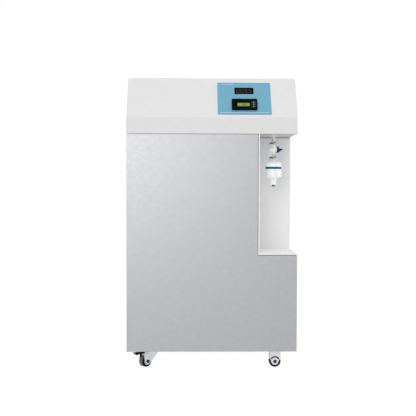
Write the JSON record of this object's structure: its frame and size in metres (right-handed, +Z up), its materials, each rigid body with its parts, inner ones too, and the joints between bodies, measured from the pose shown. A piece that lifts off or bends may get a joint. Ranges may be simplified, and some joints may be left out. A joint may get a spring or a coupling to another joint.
{
  "type": "reverse osmosis water purifier",
  "caption": "Floor-standing reverse osmosis water purifier: cabinet on castors with a hinged front panel, a sloped control head and an open side recess with a tap and capsule filter.",
  "frame": {"origin": "on the floor, below the middle of the cabinet's width and depth", "axes": "+X to the right as seen from the front, +Y to the back, +Z up"},
  "size_m": [0.64, 0.48, 1.107],
  "materials": {
    "white_paint": "fine powder coat",
    "silver_paint": "satin silver-grey coat",
    "head_white": "smooth satin moulding",
    "zinc_steel": "zinc plated",
    "dark_steel": "blackened",
    "blue_plate": "printed film on a plate, left bare",
    "black_plastic": "fine grain",
    "dark_plastic": "fine grain",
    "lcd_green": "lit window",
    "key_grey": "satin",
    "board_green": "solder mask",
    "silicone": "translucent",
    "white_plastic": "satin",
    "capsule_white": "polished",
    "teal_plastic": "polished",
    "blue_plastic": "polished",
    "slate_plastic": "satin",
    "tyre_black": "smooth tread",
    "bowl_blue": "polished",
    "red_plastic": "polished",
    "rubber_black": "matt",
    "aluminium": "folded sheet"
  },
  "bodies": {
    "cabinet": {"base_tray": "zinc_steel", "left_side_panel": "white_paint", "right_side_panel": "white_paint", "rear_panel": "white_paint", "panel_screws": "zinc_steel", "recess_liner": "white_paint", "head_floor": "head_white", "head_cover": "head_white", "hinge_brackets": "zinc_steel", "door_catches": "dark_plastic", "control_plate": "blue_plate", "display_module": "black_plastic", "meter_case": "black_plastic", "meter_window": "lcd_green", "control_board": "board_green", "outlet_bulkhead": "white_plastic", "feed_tube": "silicone", "hose_clamps": "dark_steel", "tap_body": "white_plastic", "link_tube": "silicone", "filter_capsule": "capsule_white", "filter_band": "teal_plastic", "filter_cap": "slate_plastic", "swivel_plates": "zinc_steel", "fixed_forks": "zinc_steel", "fixed_axles": "dark_steel", "castor_bolts": "zinc_steel", "power_inlet": "black_plastic", "port_fittings": "white_plastic", "mount_panel": "zinc_steel", "prefilter_heads": "dark_plastic", "prefilter_bowls": "bowl_blue", "membrane_housings": "white_plastic", "housing_clips": "dark_plastic", "booster_pump": "dark_plastic", "pump_feet": "rubber_black", "di_columns": "white_plastic", "solenoid_valves": "dark_plastic", "power_supply": "aluminium", "water_tubes": "silicone"},
    "door": {"front_panel": "silver_paint"},
    "key_1": {"meter_key_1": "key_grey"},
    "key_2": {"meter_key_2": "key_grey"},
    "key_3": {"meter_key_3": "key_grey"},
    "tap_handle": {"tap_key": "blue_plastic"},
    "rocker": {"rocker_switch": "red_plastic"},
    "swivel_front": {"swivel_fork_front": "zinc_steel", "swivel_axle_front": "dark_steel"},
    "wheel_swivel_front": {"hub_swivel_front": "white_plastic", "tyre_swivel_front": "tyre_black"},
    "wheel_fixed_front": {"hub_fixed_front": "white_plastic", "tyre_fixed_front": "tyre_black"},
    "brake_front": {"brake_pedal_front": "black_plastic"},
    "swivel_rear": {"swivel_fork_rear": "zinc_steel", "swivel_axle_rear": "dark_steel"},
    "wheel_swivel_rear": {"hub_swivel_rear": "white_plastic", "tyre_swivel_rear": "tyre_black"},
    "wheel_fixed_rear": {"hub_fixed_rear": "white_plastic", "tyre_fixed_rear": "tyre_black"},
    "brake_rear": {"brake_pedal_rear": "black_plastic"}
  },
  "joints": [
    {"name": "door_swing", "type": "hinge", "parent": "cabinet", "child": "door", "pos_m": [-0.31, -0.23, 0.4795], "axis": [0, 0, -1], "range_deg": [0, 95]},
    {"name": "key_1_press", "type": "slide", "parent": "cabinet", "child": "key_1", "axis": [0, 0.8401, -0.5424], "range_m": [0, 0.0008], "stiffness_N_per_m": 300},
    {"name": "key_2_press", "type": "slide", "parent": "cabinet", "child": "key_2", "axis": [0, 0.8401, -0.5424], "range_m": [0, 0.0008], "stiffness_N_per_m": 300},
    {"name": "key_3_press", "type": "slide", "parent": "cabinet", "child": "key_3", "axis": [0, 0.8401, -0.5424], "range_m": [0, 0.0008], "stiffness_N_per_m": 300},
    {"name": "tap_turn", "type": "hinge", "parent": "cabinet", "child": "tap_handle", "pos_m": [0.24, -0.13, 0.834], "axis": [1, 0, 0], "range_deg": [0, 90]},
    {"name": "swivel_front_turn", "type": "hinge", "parent": "cabinet", "child": "swivel_front", "pos_m": [-0.236, -0.161, 0.058], "axis": [0, 0, 1], "continuous": true},
    {"name": "wheel_swivel_front_spin", "type": "hinge", "parent": "swivel_front", "child": "wheel_swivel_front", "pos_m": [-0.25355, -0.17737, 0.0225], "axis": [-0.682, 0.7314, 0], "continuous": true},
    {"name": "wheel_fixed_front_spin", "type": "hinge", "parent": "cabinet", "child": "wheel_fixed_front", "pos_m": [0.243, -0.178, 0.0225], "axis": [0, 1, 0], "continuous": true},
    {"name": "brake_front_press", "type": "hinge", "parent": "swivel_front", "child": "brake_front", "pos_m": [-0.25575, -0.17941, 0.051], "axis": [0.682, -0.7314, 0], "range_deg": [0, 9], "stiffness_Nm_per_rad": 1},
    {"name": "swivel_rear_turn", "type": "hinge", "parent": "cabinet", "child": "swivel_rear", "pos_m": [-0.236, 0.161, 0.058], "axis": [0, 0, 1], "continuous": true},
    {"name": "wheel_swivel_rear_spin", "type": "hinge", "parent": "swivel_rear", "child": "wheel_swivel_rear", "pos_m": [-0.25855, 0.16921, 0.0225], "axis": [0.342, 0.9397, 0], "continuous": true},
    {"name": "wheel_fixed_rear_spin", "type": "hinge", "parent": "cabinet", "child": "wheel_fixed_rear", "pos_m": [0.243, 0.178, 0.0225], "axis": [0, 1, 0], "continuous": true},
    {"name": "brake_rear_press", "type": "hinge", "parent": "swivel_rear", "child": "brake_rear", "pos_m": [-0.26137, 0.17023, 0.051], "axis": [-0.342, -0.9397, 0], "range_deg": [0, 9], "stiffness_Nm_per_rad": 1},
    {"name": "rocker_tilt", "type": "hinge", "parent": "cabinet", "child": "rocker", "pos_m": [-0.215, 0.213, 0.333], "axis": [-1, 0, 0], "range_deg": [0, 18]}
  ]
}
